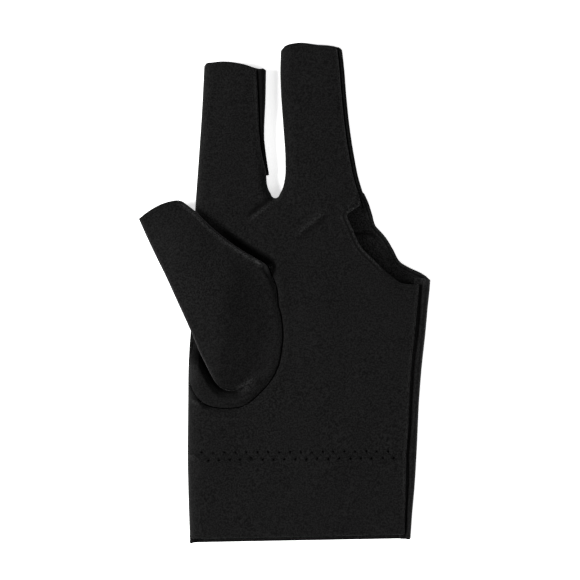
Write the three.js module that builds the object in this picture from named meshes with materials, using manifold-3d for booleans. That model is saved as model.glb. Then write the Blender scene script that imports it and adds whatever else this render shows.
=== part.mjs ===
// A billiard glove for the bridge hand, laid flat with its palm up: one wide sleeve for the
// hand, sleeves for the index and middle fingers, a set-in thumb, and an opening at the side
// where the ring and little fingers come out. Lengths are in millimetres.
import * as THREE from "three";
import { mergeVertices } from "three/addons/utils/BufferGeometryUtils.js";
import Module from "manifold-3d";

const handLength = 141; // cuff edge to the crotch between the fingers
const palmWidth = 98;
const handHeight = 9.6; // the hand sleeve as it lies, a little open
const indexLength = 55.2;
const indexWidth = 25.8;
const middleLength = 62.1;
const middleWidth = 26.6;
const fingerHeight = 8;
const thumbLength = 52; // middle of the thumb hole to the thumb's edge
const thumbWidth = 20;
const thumbHeight = 8;
const thumbTurn = 29.4; // degrees from the length of the glove
const thumbHoleWidth = 47.8;
const thumbHoleAbove = 27; // middle of the hole to its end by the index finger
const thumbHoleBelow = 36.1;
const thumbHoleTurn = 5.9;
const fabricThickness = 1.2;
const hemThickness = 1;
const cuffHemDepth = 34.8;
const openingHemWidth = 3;
const sideStripWidth = 6; // the back's cloth that shows beside the palm
const fingerStripWidth = 3.6;
const seamGap = 0.3;
const palmDome = 0.8;

const crotch = handLength;
const middleHeight = handHeight / 2;
const holeMiddle = new THREE.Vector2(-0.3217 * palmWidth, 0.6433 * handLength);

const handEdges = [
  { at: 0, left: 0.463, right: 0.463, open: 1 },
  { at: 0.08, left: 0.464, right: 0.471, open: 1 },
  { at: 0.15, left: 0.469, right: 0.48, open: 1 },
  { at: 0.25, left: 0.472, right: 0.489, open: 1 },
  { at: 0.41, left: 0.47, right: 0.5, open: 1 },
  { at: 0.5, left: 0.467, right: 0.51, open: 1 },
  { at: 0.6, left: 0.455, right: 0.5255, open: 1 },
  { at: 0.71, left: 0.45, right: 0.54, open: 1 },
  { at: 0.76, left: 0.448, right: 0.547, open: 1 },
  { at: 0.88, left: 0.444, right: 0.552, open: 1 },
  { at: 0.965, left: 0.441, right: 0.553, open: 0.92 },
  { at: 0.99, left: 0.439, right: 0.553, open: 0.86 },
  { at: 1, left: 0.438, right: 0.553, open: 0.6 },
];
const indexEdges = [
  { at: -0.12, centre: 0.05, width: 1.25 },
  { at: 0, centre: 0.046, width: 1.206 },
  { at: 0.06, centre: 0.007, width: 1.144 },
  { at: 0.19, centre: 0, width: 1.081 },
  { at: 0.33, centre: -0.002, width: 1.043 },
  { at: 0.46, centre: 0.002, width: 1.019 },
  { at: 0.73, centre: 0.029, width: 1.006 },
  { at: 1, centre: 0.048, width: 0.99 },
];
const middleEdges = [
  { at: -0.1, centre: 0, width: 1.32 },
  { at: 0, centre: 0.018, width: 1.345 },
  { at: 0.053, centre: 0.032, width: 1.232 },
  { at: 0.13, centre: 0.027, width: 1.137 },
  { at: 0.25, centre: 0.002, width: 1.074 },
  { at: 0.45, centre: -0.049, width: 1.028 },
  { at: 0.69, centre: -0.098, width: 1.008 },
  { at: 0.85, centre: -0.118, width: 0.99 },
  { at: 1, centre: -0.134, width: 0.94 },
];
const index = {
  edges: indexEdges,
  length: indexLength,
  width: indexWidth,
  centre: -0.2845,
  // how far the sleeve's end stands past its length, from its left to its right
  end: [
    { at: -1, past: -0.012 },
    { at: -0.4, past: 0.004 },
    { at: 0.25, past: -0.015 },
    { at: 0.75, past: -0.05 },
    { at: 1, past: -0.055 },
  ],
};
const middle = {
  edges: middleEdges,
  length: middleLength,
  width: middleWidth,
  centre: 0.0837,
  end: [
    { at: -1, past: -0.03 },
    { at: -0.85, past: -0.005 },
    { at: -0.5, past: 0.015 },
    { at: 0.2, past: 0.004 },
    { at: 0.8, past: -0.01 },
    { at: 1, past: -0.025 },
  ],
};

// The palm cloth's edge along the side opening, and the back cloth's, from the middle finger
// down to the side seam: across as a share of palmWidth, up as a share of handLength.
const palmOpening = [
  { across: 0.275, up: 1.03 },
  { across: 0.228, up: 0.988 },
  { across: 0.205, up: 0.973 },
  { across: 0.214, up: 0.945 },
  { across: 0.236, up: 0.893 },
  { across: 0.262, up: 0.86 },
  { across: 0.293, up: 0.846 },
  { across: 0.356, up: 0.811 },
  { across: 0.406, up: 0.782 },
  { across: 0.439, up: 0.75 },
  { across: 0.473, up: 0.746 },
];
const backOpening = [
  { across: 0.28, up: 1.03 },
  { across: 0.27, up: 1.003 },
  { across: 0.284, up: 0.984 },
  { across: 0.3, up: 0.951 },
  { across: 0.317, up: 0.915 },
  { across: 0.338, up: 0.899 },
  { across: 0.36, up: 0.881 },
  { across: 0.39, up: 0.846 },
  { across: 0.418, up: 0.811 },
  { across: 0.456, up: 0.794 },
  { across: 0.509, up: 0.776 },
  { across: 0.545, up: 0.759 },
];
// Soft ridges and one shallow groove in the palm.
const creases = [
  { x: -0.1, y: 0.985, toX: -0.2, toY: 0.94, rise: 0.9, reach: 2.2 },
  { x: 0.105, y: 0.957, toX: -0.063, toY: 0.864, rise: 0.8, reach: 2.6 },
  { x: -0.4, y: 0.35, toX: -0.23, toY: 0.36, rise: 0.35, reach: 3 },
  { x: -0.46, y: 0.247, toX: 0.44, toY: 0.247, rise: -0.4, reach: 1.6 },
];
// The thumb as a run of slanted ellipses. Each has its middle, the vector to its right end
// (a) and the vector to its top (b), across and along the thumb as shares of thumbWidth and
// thumbLength, and upwards as a share of thumbHeight.
const thumbRings = [
  { x: 0, y: 1, z: 0.08, ax: 0.5, ay: 0, az: 0.1, bx: 0, by: 0, bz: 0.5 },
  { x: 0.107, y: 0.755, z: 0.4, ax: 0.66, ay: -0.053, az: 0.1, bx: 0, by: -0.02, bz: 0.54 },
  { x: 0.24, y: 0.477, z: 0.64, ax: 0.843, ay: -0.042, az: 0.07, bx: -0.017, by: -0.1, bz: 0.57 },
  { x: 0.341, y: 0.225, z: 0.7, ax: 0.99, ay: 0.011, az: -0.07, bx: -0.042, by: -0.326, bz: 0.6 },
  { x: 0.291, y: 0.014, z: 0.44, ax: 1.035, ay: 0.169, az: -0.21, bx: -0.172, by: -0.56, bz: 0.09 },
  { x: 0.32, y: -0.006, z: 0.21, ax: 0.938, ay: 0.159, az: 0, bx: -0.132, by: -0.46, bz: 0 },
];

const wasm = await Module();
wasm.setup();

const mix = THREE.MathUtils.lerp;

// A column of a table at one place, along a smooth curve through its rows.
function sample(table, key, at) {
  const last = table.length - 1;
  let i = 1;
  while (i < last && table[i].at < at) i++;
  const from = table[i - 1];
  const to = table[i];
  const slope = (k) => {
    const p = table[Math.max(k - 1, 0)];
    const q = table[Math.min(k + 1, last)];
    return (q[key] - p[key]) / (q.at - p.at);
  };
  const run = to.at - from.at;
  const t = THREE.MathUtils.clamp((at - from.at) / run, 0, 1);
  const rest = 1 - t;
  return (
    from[key] * (1 + 2 * t) * rest * rest +
    to[key] * t * t * (3 - 2 * t) +
    run * t * rest * (slope(i - 1) * rest - slope(i) * t)
  );
}

function steps(from, to, count) {
  return Array.from({ length: count + 1 }, (_, i) => mix(from, to, i / count));
}

// A closed solid through rings of points, its ends closed over a middle point.
function loft(rings) {
  const count = rings[0].length;
  const points = rings.flat();
  const faces = [];
  for (let row = 0; row + 1 < rings.length; row++) {
    for (let i = 0; i < count; i++) {
      const a = row * count + i;
      const b = row * count + ((i + 1) % count);
      faces.push(a, b, b + count, a, b + count, a + count);
    }
  }
  const first = points.push(middleOf(rings[0])) - 1;
  const last = points.push(middleOf(rings.at(-1))) - 1;
  const top = (rings.length - 1) * count;
  for (let i = 0; i < count; i++) {
    const next = (i + 1) % count;
    faces.push(first, next, i, last, top + i, top + next);
  }
  return solidFrom(points, faces);
}

function middleOf(ring) {
  const sum = ring.reduce((total, p) => total.map((v, k) => v + p[k]), [0, 0, 0]);
  return sum.map((v) => v / ring.length);
}

function solidFrom(points, faces) {
  const make = (triVerts) =>
    new wasm.Manifold(
      new wasm.Mesh({ numProp: 3, vertProperties: new Float32Array(points.flat()), triVerts }),
    );
  const made = make(new Uint32Array(faces));
  return made.volume() > 0 ? made : make(new Uint32Array(faces.toReversed()));
}

function solidOf(geometry) {
  const bare = geometry.clone();
  bare.deleteAttribute("normal");
  bare.deleteAttribute("uv");
  const merged = mergeVertices(bare, 1e-4);
  const { array } = merged.attributes.position;
  return new wasm.Manifold(
    new wasm.Mesh({ numProp: 3, vertProperties: array, triVerts: merged.index.array }),
  );
}

// A block over an outline seen from above, between two heights.
function block(outline, low, high) {
  const shape = new THREE.Shape(outline.map(([x, y]) => new THREE.Vector2(x, y)));
  const geometry = new THREE.ExtrudeGeometry(shape, { depth: high - low, bevelEnabled: false });
  return solidOf(geometry.translate(0, 0, low));
}

// How far the palm's cloth stands above or below its even height.
function relief(x, y, share) {
  let rise = palmDome * (1 - share * share);
  for (const crease of creases) {
    const from = new THREE.Vector2(crease.x * palmWidth, crease.y * handLength);
    const to = new THREE.Vector2(crease.toX * palmWidth, crease.toY * handLength);
    const line = to.clone().sub(from);
    const offset = new THREE.Vector2(x, y).sub(from);
    const along = THREE.MathUtils.clamp(offset.dot(line) / line.lengthSq(), 0, 1);
    const away = offset.sub(line.multiplyScalar(along)).length() / crease.reach;
    rise += crease.rise * Math.exp(-away * away) * (1 - share ** 4);
  }
  return rise;
}

// One flat-lying section: level underneath, round at both sides, near level on top.
function section({ left, right, y, low, high, count }, inset, top, bend) {
  const l = left + inset;
  const r = right - inset;
  const half = (high - low) / 2 - inset;
  const level = (high + low) / 2;
  const side = Math.min(half * 1.15, (r - l) * 0.4);
  const points = [];
  const place = (x, z) => {
    const share = (2 * x - l - r) / (r - l);
    points.push([x, y + bend(share), z]);
  };
  for (const x of steps(l + side, r - side, 5)) place(x, level - half);
  for (const turn of steps(-90, 90, 6).slice(1, -1)) {
    const angle = THREE.MathUtils.degToRad(turn);
    place(r - side + side * Math.cos(angle), level + half * Math.sin(angle));
  }
  for (const x of steps(r - side, l + side, count)) {
    const share = (2 * x - l - r) / (r - l - 2 * side);
    place(x, level + half + top(x, y, share));
  }
  for (const turn of steps(90, 270, 6).slice(1, -1)) {
    const angle = THREE.MathUtils.degToRad(turn);
    place(l + side + side * Math.cos(angle), level + half * Math.sin(angle));
  }
  return points;
}

const straight = () => 0;

function handSleeve(inset, places) {
  return loft(
    places.map((at) => {
      const open = sample(handEdges, "open", at);
      const spare = (middleHeight * (1 - open));
      return section(
        {
          left: -sample(handEdges, "left", at) * palmWidth,
          right: sample(handEdges, "right", at) * palmWidth,
          y: at * handLength,
          low: at > 0.97 ? spare : 0,
          high: handHeight - spare,
          count: 20,
        },
        inset,
        (x, y, share) => relief(x, y, share) * THREE.MathUtils.smoothstep(open, 0.6, 1),
        straight,
      );
    }),
  );
}

// The hand sleeve runs from past the cuff edge to the crotch between the fingers.
function handPlaces(inset) {
  const past = inset / handLength;
  return [...steps(-past, 0.76, 17), ...steps(0.79, 0.97, 7), 0.99 - past, 1 - past];
}

function fingerSleeve({ edges, length, width, centre, end }, inset) {
  const past = inset ? 0.05 : 0;
  return loft(
    [...steps(edges[0].at, 0.2, 4), ...steps(0.33, 1, 6), ...(past ? [1 + past] : [])].map((at) => {
      const clamped = Math.min(at, 1);
      const half = (sample(edges, "width", clamped) * width) / 2;
      const x = centre * palmWidth + sample(edges, "centre", clamped) * width;
      const fall = THREE.MathUtils.smoothstep(at, -0.05, 0.35);
      return section(
        {
          left: x - half,
          right: x + half,
          y: crotch + at * length,
          low: 0,
          high: mix(handHeight * 0.93, fingerHeight, fall),
          count: 10,
        },
        inset,
        (_x, _y, share) => 0.35 * palmDome * (1 - share * share),
        (share) => sample(end, "past", share) * length * THREE.MathUtils.smoothstep(at, 0.8, 1),
      );
    }),
  );
}

function sleeves(inset) {
  return handSleeve(inset, handPlaces(inset))
    .add(fingerSleeve(index, inset))
    .add(fingerSleeve(middle, inset));
}

const openingPoint = ({ across, up }) => [across * palmWidth, up * handLength];

function beyondOpening(line) {
  const far = palmWidth;
  const points = line.map(openingPoint);
  return [...points, [far, points.at(-1)[1]], [far, points[0][1]]];
}

// The side of the palm cloth where the back's strip begins, from the cuff to the fingertip.
function sideSeam(clear) {
  const edge = (at) => [
    sample(handEdges, "right", at) * palmWidth - sideStripWidth + clear,
    at * handLength,
  ];
  const fingerEdge = ({ edges, length, width, centre }, at, share) => [
    centre * palmWidth +
      (sample(edges, "centre", at) + sample(edges, "width", at) / 2) * width -
      fingerStripWidth * share +
      clear,
    crotch + at * length,
  ];
  const gapX = (index.centre + middle.centre) * 0.5 * palmWidth;
  return [
    ...steps(0, 0.74, 8).map(edge),
    [edge(0.74)[0], handLength * 0.97],
    [middle.centre * palmWidth + middleWidth, handLength * 1.02],
    ...steps(0.06, 1, 6).map((at) => fingerEdge(middle, at, mix(0.35, 1, at))),
    [fingerEdge(middle, 1, 1)[0], crotch + middleLength * 1.2],
    [gapX + 0.5, crotch + middleLength * 1.2],
    [gapX + 0.5, crotch + 0.05 * indexLength],
    [gapX, crotch - 3],
    ...steps(0.1, 1, 6).map((at) => fingerEdge(index, at, mix(-0.5, 1.2, at))),
    [fingerEdge(index, 1, 1.2)[0], crotch + indexLength * 1.2],
    [-palmWidth, crotch + indexLength * 1.2],
  ];
}

// Where the palm cloth is: above the middle height and left of the side seam.
function palmSide(clear, cuffLeft, cuffRight) {
  const seam = sideSeam(clear);
  const outline = [[-palmWidth, cuffLeft], [seam[0][0], cuffRight], ...seam];
  return block(outline, middleHeight + seamGap / 2 - clear, handHeight * 2);
}

// A point on the edge of the thumb hole, grown by some clearance.
function holePoint(angle, grow) {
  const reach = angle > 0 && angle < Math.PI ? thumbHoleAbove : thumbHoleBelow;
  const point = new THREE.Vector2(
    (thumbHoleWidth / 2 + grow) * Math.cos(angle),
    (reach + grow) * Math.sin(angle),
  );
  return point.rotateAround(new THREE.Vector2(), THREE.MathUtils.degToRad(thumbHoleTurn)).add(holeMiddle);
}

function holeOutline(grow) {
  return steps(-Math.PI, Math.PI, 48)
    .slice(1)
    .map((angle) => holePoint(angle, grow).toArray());
}

// The height of the palm's outer face, from its side's middle height up.
function palmTop(x, y) {
  const left = -sample(handEdges, "left", y / handLength) * palmWidth;
  const right = sample(handEdges, "right", y / handLength) * palmWidth;
  const side = middleHeight * 1.15;
  const share = THREE.MathUtils.clamp((2 * x - left - right) / (right - left - 2 * side), -1, 1);
  const run = THREE.MathUtils.clamp((left + side - x) / side, 0, 1);
  return middleHeight + middleHeight * Math.sqrt(1 - run * run) + (run ? 0 : relief(x, y, share));
}

// The thumb's last rings follow the edge of its hole, over the palm and round its left side.
function holeRing(grow, drop, turns) {
  return turns.map((turn) => {
    const angle = Math.PI / 4 - turn;
    const { x, y } = holePoint(angle < -Math.PI ? angle + 2 * Math.PI : angle, grow);
    const left = -sample(handEdges, "left", y / handLength) * palmWidth;
    const held = Math.max(x, left);
    return new THREE.Vector3(held, y, Math.max(palmTop(held, y) - drop, middleHeight + fabricThickness));
  });
}

function thumbRing(ring, turns) {
  const slant = THREE.MathUtils.degToRad(thumbTurn);
  const across = new THREE.Vector3(Math.cos(slant), Math.sin(slant), 0);
  const along = new THREE.Vector3(-Math.sin(slant), Math.cos(slant), 0);
  const vector = (x, y, z) =>
    new THREE.Vector3(0, 0, z * thumbHeight)
      .addScaledVector(across, x * thumbWidth)
      .addScaledVector(along, y * thumbLength);
  const base = new THREE.Vector3(holeMiddle.x, holeMiddle.y, handHeight + palmDome);
  const centre = vector(ring.x, ring.y, ring.z).add(base);
  const a = vector(ring.ax, ring.ay, ring.az);
  const b = vector(ring.bx, ring.by, ring.bz);
  return turns.map((turn) =>
    centre.clone().addScaledVector(a, Math.cos(turn)).addScaledVector(b, Math.sin(turn)),
  );
}

function thumbSleeve() {
  const turns = steps(0, 2 * Math.PI, 24).slice(0, -1);
  const keys = [
    ...thumbRings.map((ring) => thumbRing(ring, turns)),
    holeRing(-1, 0, turns),
    holeRing(0, fabricThickness, turns),
  ];
  const lines = turns.map((_, i) => new THREE.CatmullRomCurve3(keys.map((key) => key[i])));
  const rows = steps(0, 1, 20);
  const outer = rows.map((t) => lines.map((line) => line.getPoint(t)));
  const inner = outer.map((ring, row) =>
    ring.map((point, i) => {
      const next = ring[(i + 1) % ring.length];
      const before = ring.at(i - 1);
      const ahead = outer[Math.min(row + 1, outer.length - 1)][i];
      const behind = outer[Math.max(row - 1, 0)][i];
      const normal = next.clone().sub(before).cross(ahead.clone().sub(behind)).normalize();
      return point.clone().addScaledVector(normal, -fabricThickness);
    }),
  );
  const skin = [...outer, ...inner.toReversed()];
  const count = turns.length;
  const faces = [];
  skin.forEach((_, row) => {
    const next = ((row + 1) % skin.length) * count;
    for (let i = 0; i < count; i++) {
      const j = (i + 1) % count;
      faces.push(row * count + i, row * count + j, next + j);
      faces.push(row * count + i, next + j, next + i);
    }
  });
  return solidFrom(skin.flat().map((p) => p.toArray()), faces);
}

const outside = sleeves(0);
const hollow = sleeves(fabricThickness);
const cloth = outside.subtract(hollow).subtract(block(beyondOpening(backOpening), -5, 30));

function palmPanel() {
  return cloth
    .intersect(palmSide(0, 1.2, 2.9))
    .subtract(block(beyondOpening(palmOpening), -5, 30))
    .subtract(block(holeOutline(seamGap), 0, 30));
}

function backPanel() {
  return cloth.subtract(palmSide(seamGap, -10, -10));
}

// The second layer of cloth that hems lay against the inside of the hand sleeve.
function lining(places) {
  const face = fabricThickness + seamGap;
  const far = face + hemThickness;
  return handSleeve(face, places).subtract(handSleeve(far, [places[0] - 0.05, ...places, 1.05]));
}

function cuffHem() {
  const [low, high, wide] = [0.026 * handLength, cuffHemDepth, palmWidth];
  const top = (cuffHemDepth / handLength) * 1.05;
  const outline = [[-wide, low], [wide, low], [wide, high], [-wide, high]];
  return lining(steps(-0.02, top, 4)).intersect(block(outline, -5, 30));
}

// A narrow hem behind the edge of an opening, between two heights.
function openingHem(line, low, high) {
  const points = line.map((place) => new THREE.Vector2(...openingPoint(place)));
  const shifted = (distance) =>
    points.map((point, i) => {
      const run = points[Math.min(i + 1, points.length - 1)]
        .clone()
        .sub(points[Math.max(i - 1, 0)])
        .normalize();
      return [point.x + run.y * distance, point.y - run.x * distance];
    });
  const outline = [...shifted(0.4), ...shifted(openingHemWidth + 0.4).toReversed()];
  return lining(steps(0.7, 0.985, 9)).intersect(block(outline, low, high));
}

function meshOf(name, solid, color) {
  const { numProp, vertProperties, triVerts } = solid.getMesh();
  const positions = new Float32Array((vertProperties.length / numProp) * 3);
  for (let i = 0; i < positions.length / 3; i++) {
    positions.set(vertProperties.subarray(i * numProp, i * numProp + 3), i * 3);
  }
  const geometry = new THREE.BufferGeometry();
  geometry.setAttribute("position", new THREE.BufferAttribute(positions, 3));
  geometry.setIndex(new THREE.BufferAttribute(triVerts, 1));
  const mesh = new THREE.Mesh(geometry, new THREE.MeshStandardMaterial({ color }));
  mesh.name = name;
  return mesh;
}

const glove = new THREE.Group();
glove.add(
  meshOf("palm_panel", palmPanel(), 0x2a2a2c),
  meshOf("back_panel", backPanel(), 0x242426),
  meshOf("thumb_sleeve", thumbSleeve(), 0x303032),
  meshOf("cuff_hem", cuffHem(), 0x1c1c1e),
  meshOf("palm_opening_hem", openingHem(palmOpening.slice(2), middleHeight, 30), 0x1c1c1e),
  meshOf("back_opening_hem", openingHem(backOpening.slice(3), -5, middleHeight), 0x1c1c1e),
);
const box = new THREE.Box3().setFromObject(glove);
const origin = box.getCenter(new THREE.Vector3()).setZ(box.min.z).negate();
glove.children.forEach((mesh) => mesh.geometry.translate(origin.x, origin.y, origin.z));

export default glove;
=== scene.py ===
# Dresses a billiard glove that lies palm up: cloth panels with rolled edges, sewn seams,
# creases and a knitted surface, set as in the photograph.
import math

import bpy
import numpy as np
from mathutils.geometry import delaunay_2d_cdt
from mathutils.kdtree import KDTree
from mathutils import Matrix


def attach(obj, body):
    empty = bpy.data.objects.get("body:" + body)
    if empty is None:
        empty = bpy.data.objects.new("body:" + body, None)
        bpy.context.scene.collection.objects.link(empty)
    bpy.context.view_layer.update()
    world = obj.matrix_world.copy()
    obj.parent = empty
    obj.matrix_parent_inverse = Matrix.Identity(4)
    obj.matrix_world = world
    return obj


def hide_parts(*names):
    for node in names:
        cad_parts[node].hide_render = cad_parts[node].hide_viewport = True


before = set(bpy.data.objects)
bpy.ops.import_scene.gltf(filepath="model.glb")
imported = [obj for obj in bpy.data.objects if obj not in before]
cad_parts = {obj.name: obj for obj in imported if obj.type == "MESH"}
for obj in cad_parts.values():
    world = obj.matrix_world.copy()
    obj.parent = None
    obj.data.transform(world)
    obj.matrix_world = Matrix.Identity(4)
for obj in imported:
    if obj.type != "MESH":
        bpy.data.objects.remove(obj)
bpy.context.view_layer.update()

# Lengths are in millimetres, from the middle of the cuff's edge, until a mesh is made.
size = {
    "handLength": 141,
    "palmWidth": 98,
    "handHeight": 9.6,
    "indexLength": 55.2,
    "indexWidth": 25.8,
    "middleLength": 62.1,
    "middleWidth": 26.6,
    "fingerHeight": 8,
    "thumbTurn": math.radians(29.4),
    "cloth": 1.2,
    "hem": 1.0,
    "gap": 0.3,
    "cuffHemDepth": 34.8,
    "fingerStrip": 3.6,
    "palmDome": 0.8,
}
toObject = np.array([6.087, -102.021, 0])
crotch = size["handLength"]

handEdges = {
    "at": [0, 0.08, 0.15, 0.25, 0.41, 0.5, 0.6, 0.71, 0.76, 0.88, 0.965, 1],
    "left": [0.463, 0.464, 0.469, 0.472, 0.47, 0.467, 0.455, 0.45, 0.448, 0.444, 0.441, 0.438],
    "right": [0.463, 0.471, 0.48, 0.489, 0.5, 0.51, 0.5255, 0.54, 0.547, 0.552, 0.553, 0.553],
}
indexFinger = {
    "length": size["indexLength"],
    "width": size["indexWidth"],
    "middle": -0.2845 * size["palmWidth"],
    "at": [0, 0.06, 0.19, 0.33, 0.46, 0.73, 1],
    "centre": [0.046, 0.007, 0, -0.002, 0.002, 0.029, 0.048],
    "wide": [1.206, 1.144, 1.081, 1.043, 1.019, 1.006, 0.99],
    "endAt": [-1, -0.4, 0.25, 0.75, 1],
    "endPast": [-0.012, 0.004, -0.015, -0.05, -0.055],
}
middleFinger = {
    "length": size["middleLength"],
    "width": size["middleWidth"],
    "middle": 0.0837 * size["palmWidth"],
    "at": [0, 0.053, 0.13, 0.25, 0.45, 0.69, 0.85, 1],
    "centre": [0.018, 0.032, 0.027, 0.002, -0.049, -0.098, -0.118, -0.134],
    "wide": [1.345, 1.232, 1.137, 1.074, 1.028, 1.008, 0.99, 0.94],
    "endAt": [-1, -0.85, -0.5, 0.2, 0.8, 1],
    "endPast": [-0.03, -0.005, 0.015, 0.004, -0.01, -0.025],
}
# The side opening's front edge in millimetres, and its back edge as shares of palmWidth across
# and handLength up, both from the side seam up to the middle finger.
palmOpening = [
    (49.2, 104.9), (47, 104.9), (44, 105.1), (41.4, 105.6), (39.2, 107), (37, 108.7), (34.8, 110.4),
    (32.5, 112.6), (30.2, 115), (27.4, 117.6), (25, 120.3), (23.4, 123), (21.3, 128), (19.6, 131.8),
    (19.1, 133.3), (19.9, 134.6), (22.4, 136.3), (24, 137.6), (24.8, 139.2),
]
backOpening = [
    (0.547, 0.759), (0.509, 0.776), (0.456, 0.794), (0.418, 0.811), (0.39, 0.846),
    (0.36, 0.881), (0.338, 0.899), (0.317, 0.915), (0.3, 0.951), (0.284, 0.984),
    (0.272, 1.003), (0.26, 1.021),
]


# A smooth curve through a table's rows.
def spline(at, values, where):
    at, values = np.asarray(at, float), np.asarray(values, float)
    slope = np.gradient(values, at)
    i = np.clip(np.searchsorted(at, where) - 1, 0, len(at) - 2)
    run = at[i + 1] - at[i]
    t = np.clip((where - at[i]) / run, 0, 1)
    rest = 1 - t
    return (
        values[i] * (1 + 2 * t) * rest**2
        + values[i + 1] * t**2 * (3 - 2 * t)
        + run * t * rest * (slope[i] * rest - slope[i + 1] * t)
    )


def smoothStep(value, low, high):
    t = np.clip((value - low) / (high - low), 0, 1)
    return t * t * (3 - 2 * t)


# A smooth bump, 1 high, about one value.
def bell(value, middle, reach):
    return np.exp(-(((value - middle) / reach) ** 2))


# Several bumps together: each row is a rise, its middle and its reach.
def bells(value, rows):
    return sum(rise * bell(value, middle, reach) for rise, middle, reach in rows)


# How long a line is up to each of its points.
def lengthAlong(line):
    return np.concatenate([[0], np.cumsum(np.linalg.norm(np.diff(line, axis=0), axis=1))])


# Even points along a smooth curve through a few points.
def curveThrough(points, step):
    points = np.asarray(points, float)
    along = lengthAlong(points)
    fine = np.linspace(0, along[-1], max(2, int(along[-1] / step) + 1))
    return np.stack([spline(along, points[:, k], fine) for k in range(points.shape[1])], 1)


# The glove's left edge, from the cuff to the end of the index finger, in millimetres.
leftSide = [
    (-45.2, -1), (-45.4, 4.5), (-45.9, 20), (-46.2, 36), (-46.1, 48), (-46.0, 58), (-45.8, 72.6),
    (-45.0, 84.9), (-44.2, 110), (-43.05, 136.5), (-41.5, 159), (-40.3, 177), (-39.4, 195),
]


def handEdge(side, low, high, step=0.8):
    y = np.linspace(low, high, max(2, int(abs(high - low) / step) + 1))
    sign = -1 if side == "left" else 1
    x = sign * size["palmWidth"] * spline(handEdges["at"], handEdges[side], y / size["handLength"])
    return np.stack([x, y], 1)


def fingerEnd(finger, share):
    return finger["length"] * (1 + spline(finger["endAt"], finger["endPast"], share))


def fingerEdge(finger, sign, low, high, step=0.8):
    top = fingerEnd(finger, np.array([float(sign)]))[0] / finger["length"] if high == 1 else high
    at = np.linspace(low, top, max(2, int(abs(top - low) * finger["length"] / step) + 1))
    wide = spline(finger["at"], finger["wide"], at) * finger["width"]
    x = finger["middle"] + spline(finger["at"], finger["centre"], at) * finger["width"]
    return np.stack([x + sign * wide / 2, crotch + at * finger["length"]], 1)


# A finger's right edge, and how wide the back's cloth shows beside it.
def fingerStrip(finger, base, low, step=0.8):
    edge = fingerEdge(finger, 1, low, 1, step)
    at = (edge[:, 1] - crotch) / finger["length"]
    return edge, size["fingerStrip"] * np.clip(base + (1 - base) * at, 0.01, 1.2)


# The cut end of a finger sleeve, from right to left.
def fingerTop(finger, fromX, toX, step=0.7):
    x = np.linspace(fromX, toX, int(abs(fromX - toX) / step) + 1)
    wide = spline(finger["at"], finger["wide"], np.array([1.0]))[0] * finger["width"] / 2
    middle = finger["middle"] + finger["centre"][-1] * finger["width"]
    share = np.clip((x - middle) / wide, -1, 1)
    return np.stack([x, crotch + fingerEnd(finger, share)], 1)


# Unit vectors to the left of a line's direction.
def inward(line):
    run = np.gradient(line, axis=0)
    run /= np.linalg.norm(run, axis=1)[:, None]
    return np.stack([-run[:, 1], run[:, 0]], 1)


# The same for a closed loop.
def leftOfLoop(loop):
    run = np.roll(loop, -1, axis=0) - np.roll(loop, 1, axis=0)
    run /= np.linalg.norm(run, axis=1)[:, None]
    return np.stack([-run[:, 1], run[:, 0]], 1)


# Which of the places is nearest to each point, and how far off it is.
def nearestIn(places, points):
    tree = KDTree(len(places))
    for i, (x, y) in enumerate(places):
        tree.insert((x, y, 0), i)
    tree.balance()
    found = [tree.find((x, y, 0))[1:] for x, y in points]
    return np.array([which for which, _ in found], int), np.array([gap for _, gap in found], float)


# How far points are from a line, by the two lengths beside its nearest point.
def distanceTo(points, line):
    nearest, _ = nearestIn(line, points)
    best = np.full(len(points), 1e9)
    for first in (np.maximum(nearest - 1, 0), np.minimum(nearest, len(line) - 2)):
        start, run = line[first], line[first + 1] - line[first]
        off = points - start
        t = np.clip((off * run).sum(1) / np.maximum((run**2).sum(1), 1e-12), 0, 1)
        best = np.minimum(best, np.linalg.norm(off - t[:, None] * run, axis=1))
    return best


def distanceToAny(points, lines):
    return np.min([distanceTo(points, line) for line in lines], axis=0)


# Where along a line each point is nearest to it, and how far to its left.
def besideLine(points, line):
    fine = curveThrough(line, 0.2)
    nearest = np.clip(nearestIn(fine, points)[0], 1, len(fine) - 2)
    run = fine[nearest + 1] - fine[nearest - 1]
    run /= np.linalg.norm(run, axis=1)[:, None]
    off = points - fine[nearest]
    return nearest / (len(fine) - 1), run[:, 0] * off[:, 1] - run[:, 1] * off[:, 0]


def insideOf(points, loop):
    nextPoint = np.roll(loop, -1, axis=0)
    inside = np.zeros(len(points), bool)
    for first in range(0, len(points), 4000):
        x, y = points[first : first + 4000, 0, None], points[first : first + 4000, 1, None]
        crosses = (loop[:, 1] > y) != (nextPoint[:, 1] > y)
        rise = np.where(nextPoint[:, 1] == loop[:, 1], 1, nextPoint[:, 1] - loop[:, 1])
        at = loop[:, 0] + (y - loop[:, 1]) * (nextPoint[:, 0] - loop[:, 0]) / rise
        inside[first : first + 4000] = (crosses & (x < at)).sum(1) % 2 == 1
    return inside


# The glove's outer edges, where the cloth turns from the palm to the back.
leftEdge = curveThrough(leftSide, 0.8)
leftEdge = leftEdge[leftEdge[:, 1] < crotch + fingerEnd(indexFinger, np.array([-1.0]))[0]]


def leftAt(y):
    return np.interp(y, leftEdge[:, 1], leftEdge[:, 0])


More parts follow.
